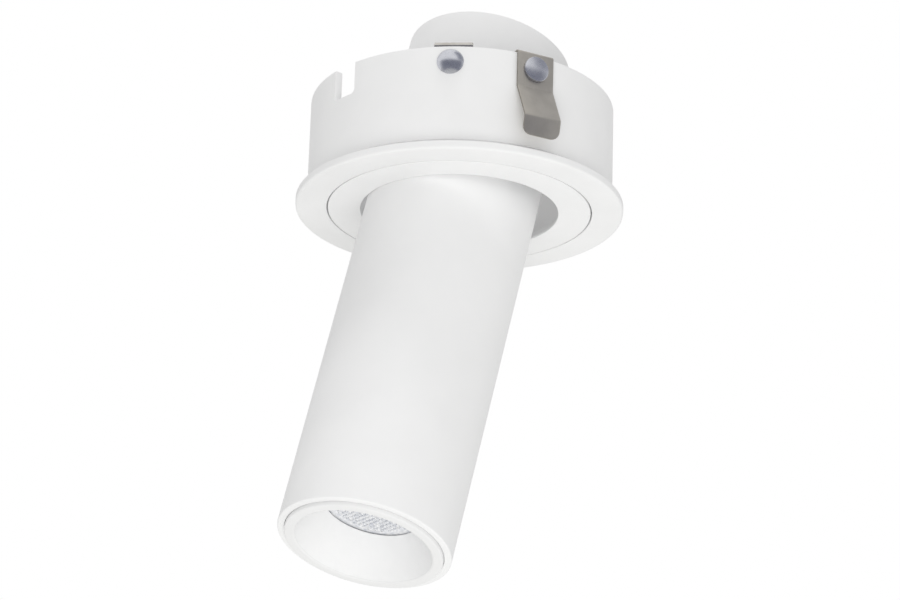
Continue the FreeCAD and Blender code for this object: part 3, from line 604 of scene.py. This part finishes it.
def makeLens(its):
    bm = bmesh.new()
    half = its["rows"] * its["cell"] * mm / 2
    bmesh.ops.create_grid(bm, x_segments=its["rows"], y_segments=its["rows"], size=half)
    cells = bm.faces[:]
    for share in its["pillowSteps"]:  # each step is flatter, so that a cell becomes a rounded pillow
        bmesh.ops.inset_individual(bm, faces=cells, thickness=its["pillowInset"] * its["cell"] * mm,
                                   depth=share * its["pillow"] * mm)
    for side in range(its["fieldSides"]):  # trims the square field to a round one
        angle = 2 * math.pi * side / its["fieldSides"]
        outward = Vector((math.cos(angle), math.sin(angle), 0))
        bmesh.ops.bisect_plane(bm, geom=bm.verts[:] + bm.edges[:] + bm.faces[:], dist=sameSpot,
                               plane_co=outward * its["field"] * mm, plane_no=outward, clear_outer=True)
    for vert in {vert for edge in openEdges(bm) for vert in edge.verts}:
        vert.co.z = 0  # the pillows end in one flat edge
    growBorder(bm, its["band"])  # the plain band round the field, and the step down to the rim
    growBorder(bm, its["band"] + its["step"], -its["step"])
    growBorder(bm, its["rim"])
    growBorder(bm, its["rim"], its["step"] - its["rimThickness"])
    growBorder(bm, its["body"])  # the cone behind the rim, and the recess for the LED in its back
    growBorder(bm, its["back"], -its["bodyLength"])
    growBorder(bm, its["recess"])
    growBorder(bm, its["recess"], its["recessDepth"])
    bmesh.ops.holes_fill(bm, edges=openEdges(bm), sides=0)
    bmesh.ops.remove_doubles(bm, verts=bm.verts, dist=sameSpot)
    bmesh.ops.recalc_face_normals(bm, faces=bm.faces)
    facingDown = Matrix.Rotation(math.pi, 4, "X") @ atBearing(its["turn"])
    place = onHead @ Matrix.Translation((0, 0, its["front"] * mm)) @ facingDown
    finishPiece("pillowLens", bm, clearAcrylic, ["lens"], "head", place, its["smooth"])


makeLens(lensSet)
print("lens made")


# spring clips: hooked over the rim, riveted, and kicked out to grip the ceiling board

clipSet = {"bearing": -63.1, "width": 12.0, "thickness": 0.6, "hookTip": 44.67, "plate": 46.92, "top": 32.05,
           "bend": 20.6, "kick": 52.22, "widest": 9.4, "lip": 50.92, "tip": 3.7, "hookBend": 0.7,
           "upperBend": 0.3, "lowerBend": 0.34, "tipRound": 2.6, "edgeRound": 0.1, "sideFacing": 0.5,
           "flexFrom": 23.5, "flexTo": 18.5}


def makeClip(its, name, bearing, node):
    bm = bendSheet([
        (its["hookTip"], its["top"], 0), (its["plate"], its["top"], its["hookBend"]),
        (its["plate"], its["bend"], its["upperBend"]), (its["kick"], its["widest"], its["lowerBend"]),
        (its["lip"], its["tip"], 0),
    ], its["width"])
    roundCorners(bm, "z", min, its["tipRound"])
    thicken(bm, its["thickness"], its["edgeRound"])
    bm.normal_update()
    for face in bm.faces:
        if abs(face.normal.y) > its["sideFacing"]:
            face.material_index = 1  # the sheared sides
    piece = finishPiece(name, bm, springSteel, [node], None, atBearing(bearing))
    piece.data.materials.append(shearedSteel)
    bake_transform(piece)


makeClip(clipSet, "clipRight", clipSet["bearing"], "spring_clip_right")
makeClip(clipSet, "clipLeft", clipSet["bearing"] + 180, "spring_clip_left")
print("clips made")


# retainer strips that keep the swivel ring down; the rear one has the stop finger

stripSet = {"bearing": -94.9, "width": 11.7, "thickness": 0.8, "edge": 43.2, "lead": 43.65, "wall": 43.044,
            "top": 34.25, "leadBend": 33.3, "wallBend": 32.1, "foot": 1.65, "tip": 40.37, "topBend": 0.3,
            "footBend": 1.2, "sideShift": 0.6, "topRound": 0.5, "topRoundSteps": 4, "edgeRound": 0.38,
            "fingerWidth": 5.0, "fingerTip": 37.27}


def growFinger(bm, its):
    # splits the foot's tip beside the finger and draws the piece between out
    half = its["fingerWidth"] * mm / 2
    for side in (-half, half):
        bmesh.ops.bisect_plane(bm, geom=bm.verts[:] + bm.edges[:] + bm.faces[:], dist=sameSpot,
                               plane_co=(0, side, 0), plane_no=(0, 1, 0))
    inFinger = {vert for vert in bm.verts
                if abs(vert.co.x - its["tip"] * mm) < nearSpot and abs(vert.co.y) < half + nearSpot}
    end = [edge for edge in bm.edges if inFinger.issuperset(edge.verts)]
    grown = bmesh.ops.extrude_edge_only(bm, edges=end)["geom"]
    bmesh.ops.translate(bm, vec=((its["fingerTip"] - its["tip"]) * mm, 0, 0), verts=vertsOf(grown))


def makeStrip(its, name, bearing, node, withFinger):
    bm = bendSheet([
        (its["edge"], its["top"], 0), (its["lead"], its["leadBend"], its["topBend"]),
        (its["wall"], its["wallBend"], its["topBend"]), (its["wall"], its["foot"], its["footBend"]),
        (its["tip"], its["foot"], 0),
    ], its["width"])
    roundCorners(bm, "z", max, its["topRound"], its["topRoundSteps"])
    bmesh.ops.translate(bm, vec=(0, its["sideShift"] * mm, 0), verts=bm.verts)
    if withFinger:
        growFinger(bm, its)
    thicken(bm, its["thickness"], its["edgeRound"])
    finishPiece(name, bm, temperedSteel, [node], "root", atBearing(bearing))


makeStrip(stripSet, "stripFront", stripSet["bearing"], "retainer_strip_front", False)
makeStrip(stripSet, "stripRear", stripSet["bearing"] + 180, "retainer_strip_rear", True)
print("retainer strips made")


# dome rivets through the can's wall; the clips' rivets have flatter heads with a straight edge

rivetSet = {"height": 26.7, "head": 4.0, "shank": 2.0, "tail": 3.0, "tailHeight": 1.2, "tailRound": 0.4,
            "domeSteps": 14, "edgeSteps": 6, "steps": 56}
rivetPairs = [
    {"name": "stripRivetPair", "node": "retainer_rivets", "bearing": -94.9, "seat": 46.59, "grip": 42.624,
     "edge": 0.0, "dome": 2.0, "edgeRound": 0.0},
    {"name": "clipRivetPair", "node": "clip_rivets", "bearing": -63.1, "seat": 47.24, "grip": 43.848,
     "edge": 0.9, "dome": 0.6, "edgeRound": 0.7},
]


def makeRivets(its, pair):
    bm = bmesh.new()
    # the dome's radius follows from its width and height
    sphere = (its["head"] ** 2 + pair["dome"] ** 2) / (2 * pair["dome"])
    seat, grip = pair["seat"], pair["grip"]
    shoulder, tailEnd = seat + pair["edge"], grip - its["tailHeight"]
    side = [(its["head"], shoulder, 0), (its["head"], seat, 0)] if pair["edge"] else [(its["head"], seat, 0)]
    drawOutline(bm, side + [
        (its["shank"], seat, 0), (its["shank"], grip, 0), (its["tail"], grip, 0),
        (its["tail"], tailEnd, its["tailRound"]), (0, tailEnd, 0),
    ], closed=False)
    edge = max(bm.verts, key=lambda vert: vert.co.z)
    bmesh.ops.spin(bm, geom=[edge], cent=(0, 0, (shoulder + pair["dome"] - sphere) * mm), axis=(0, 1, 0),
                   angle=-math.asin(its["head"] / sphere), steps=its["domeSteps"], use_merge=False,
                   use_normal_flip=False, use_duplicate=False)
    if pair["edgeRound"]:
        roundOff(bm, [edge], pair["edgeRound"], its["edgeSteps"], "VERTICES")
    turnRound(bm, its["steps"], nearSpot)
    lay = Matrix.Translation((0, 0, its["height"] * mm)) @ Matrix.Rotation(math.radians(90), 4, "Y")
    bmesh.ops.transform(bm, matrix=lay, verts=bm.verts)
    copyTo(bm, [atBearing(pair["bearing"]), atBearing(pair["bearing"] + 180)])
    finishPiece(pair["name"], bm, nickelPlate, [pair["node"]], "root")


for rivetPair in rivetPairs:
    makeRivets(rivetSet, rivetPair)
print("rivets made")


# pivot brackets: bent feet on the swivel ring, round ears at the pivots

bracketSet = {"bearing": -42.95, "width": 14.0, "thickness": 1.2, "footEnd": 36.2, "foot": 1.2, "ear": 31.1,
              "top": 16.8, "bend": 1.2, "earRound": 6.95, "earSteps": 12, "footRound": 1.0, "footSteps": 4,
              "edgeRound": 0.15}


def makeBracket(its, name, bearing, node):
    bm = bendSheet([
        (its["footEnd"], its["foot"], 0), (its["ear"], its["foot"], its["bend"]),
        (its["ear"], its["top"], 0),
    ], its["width"])
    roundCorners(bm, "z", max, its["earRound"], its["earSteps"])
    roundCorners(bm, "x", max, its["footRound"], its["footSteps"])
    thicken(bm, its["thickness"], its["edgeRound"])
    finishPiece(name, bm, zincPlate, [node], "swivel", atBearing(bearing))


makeBracket(bracketSet, "bracketFront", bracketSet["bearing"], "pivot_bracket_front")
makeBracket(bracketSet, "bracketRear", bracketSet["bearing"] + 180, "pivot_bracket_rear")
print("brackets made")


# pan head screws with a cross recess, two in each bracket's foot

panScrewSet = {"out": 34.27, "aside": 4.2, "seat": 1.8, "head": 1.9, "headHeight": 1.5, "crown": 0.9,
               "seatRound": 0.1, "shank": 1.25, "length": 3.2, "endRound": 0.2, "slotWidth": 0.55,
               "slotLength": 2.3, "slotDepth": 0.8, "steps": 40}


def makePanScrews(its):
    top, end = its["seat"] + its["headHeight"], its["seat"] - its["length"]
    bm = spinRound([
        (0, top, 0), (its["head"], top, its["crown"]), (its["head"], its["seat"], its["seatRound"]),
        (its["shank"], its["seat"], 0), (its["shank"], end, its["endRound"]), (0, end, 0),
    ], closed=False, steps=its["steps"])
    for across, along in ((its["slotWidth"], its["slotLength"]), (its["slotLength"], its["slotWidth"])):
        blade = bmesh.new()
        bmesh.ops.create_cube(blade, size=1)
        bmesh.ops.scale(blade, vec=(across * mm, along * mm, 2 * its["slotDepth"] * mm), verts=blade.verts)
        bmesh.ops.translate(blade, vec=(0, 0, top * mm), verts=blade.verts)
        bm = cutAway(bm, blade)
    places = []
    for turn in (0, 180):
        for side in (-its["aside"], its["aside"]):
            inFoot = Matrix.Translation((its["out"] * mm, side * mm, 0))
            places.append(atBearing(bracketSet["bearing"] + turn) @ inFoot)
    copyTo(bm, places)
    finishPiece("panScrews", bm, zincPlate, ["bracket_screws"], "swivel")


makePanScrews(panScrewSet)
print("bracket screws made")


# socket screws that the collar tilts on

pivotScrewSet = {"top": 34.0, "seat": 31.8, "head": 3.8, "headRound": 0.4, "seatRound": 0.1, "shoulder": 2.0,
                 "shoulderEnd": 30.0, "thread": 1.5, "end": 26.3, "endRound": 0.2, "socket": 1.45,
                 "socketSides": 6, "socketDepth": 1.2, "steps": 56}


def makePivotScrews(its):
    bm = spinRound([
        (0, its["top"], 0), (its["head"], its["top"], its["headRound"]),
        (its["head"], its["seat"], its["seatRound"]), (its["shoulder"], its["seat"], 0),
        (its["shoulder"], its["shoulderEnd"], 0), (its["thread"], its["shoulderEnd"], 0),
        (its["thread"], its["end"], its["endRound"]), (0, its["end"], 0),
    ], closed=False, steps=its["steps"])
    socket = bmesh.new()
    bmesh.ops.create_cone(socket, cap_ends=True, segments=its["socketSides"], radius1=its["socket"] * mm,
                          radius2=its["socket"] * mm, depth=2 * its["socketDepth"] * mm)
    bmesh.ops.translate(socket, vec=(0, 0, its["top"] * mm), verts=socket.verts)
    bm = cutAway(bm, socket)
    lay = Matrix.Rotation(math.radians(90), 4, "Y")
    copyTo(bm, [lay, atBearing(180) @ lay])
    finishPiece("pivotScrewPair", bm, zincPlate, ["pivot_screws"], "gimbal", onHead)


makePivotScrews(pivotScrewSet)
print("pivot screws made")


# rear cap and the rubber grommet in it

capSet = {"hole": 4.95, "skirtBore": 21.85, "radius": 23.35, "plate": 41.7, "skirt": 37.7, "top": 43.7,
          "edgeRound": 0.6, "smallRound": 0.2}
grommetSet = {"bore": 3.0, "flange": 7.0, "neck": 4.9, "low": 40.2, "plate": 41.7, "capTop": 43.7,
              "top": 45.2, "topRound": 0.8, "smallRound": 0.3, "steps": 72}


def makeCap(its):
    bm = spinRound([
        (its["hole"], its["plate"], 0), (its["skirtBore"], its["plate"], its["smallRound"]),
        (its["skirtBore"], its["skirt"], 0), (its["radius"], its["skirt"], its["smallRound"]),
        (its["radius"], its["top"], its["edgeRound"]), (its["hole"], its["top"], its["smallRound"]),
    ])
    finishPiece("rearCap", bm, whitePolycarbonate, ["rear_cap"], "head", onHead)


def makeGrommet(its):
    bm = spinRound([
        (its["bore"], its["low"], its["smallRound"]), (its["flange"], its["low"], its["smallRound"]),
        (its["flange"], its["plate"], 0), (its["neck"], its["plate"], 0), (its["neck"], its["capTop"], 0),
        (its["flange"], its["capTop"], 0), (its["flange"], its["top"], its["topRound"]),
        (its["bore"], its["top"], its["smallRound"]),
    ], steps=its["steps"])
    finishPiece("cableGrommet", bm, nitrileRubber, ["cable_grommet"], "head", onHead)


makeCap(capSet)
makeGrommet(grommetSet)
print("rear cap and grommet made")
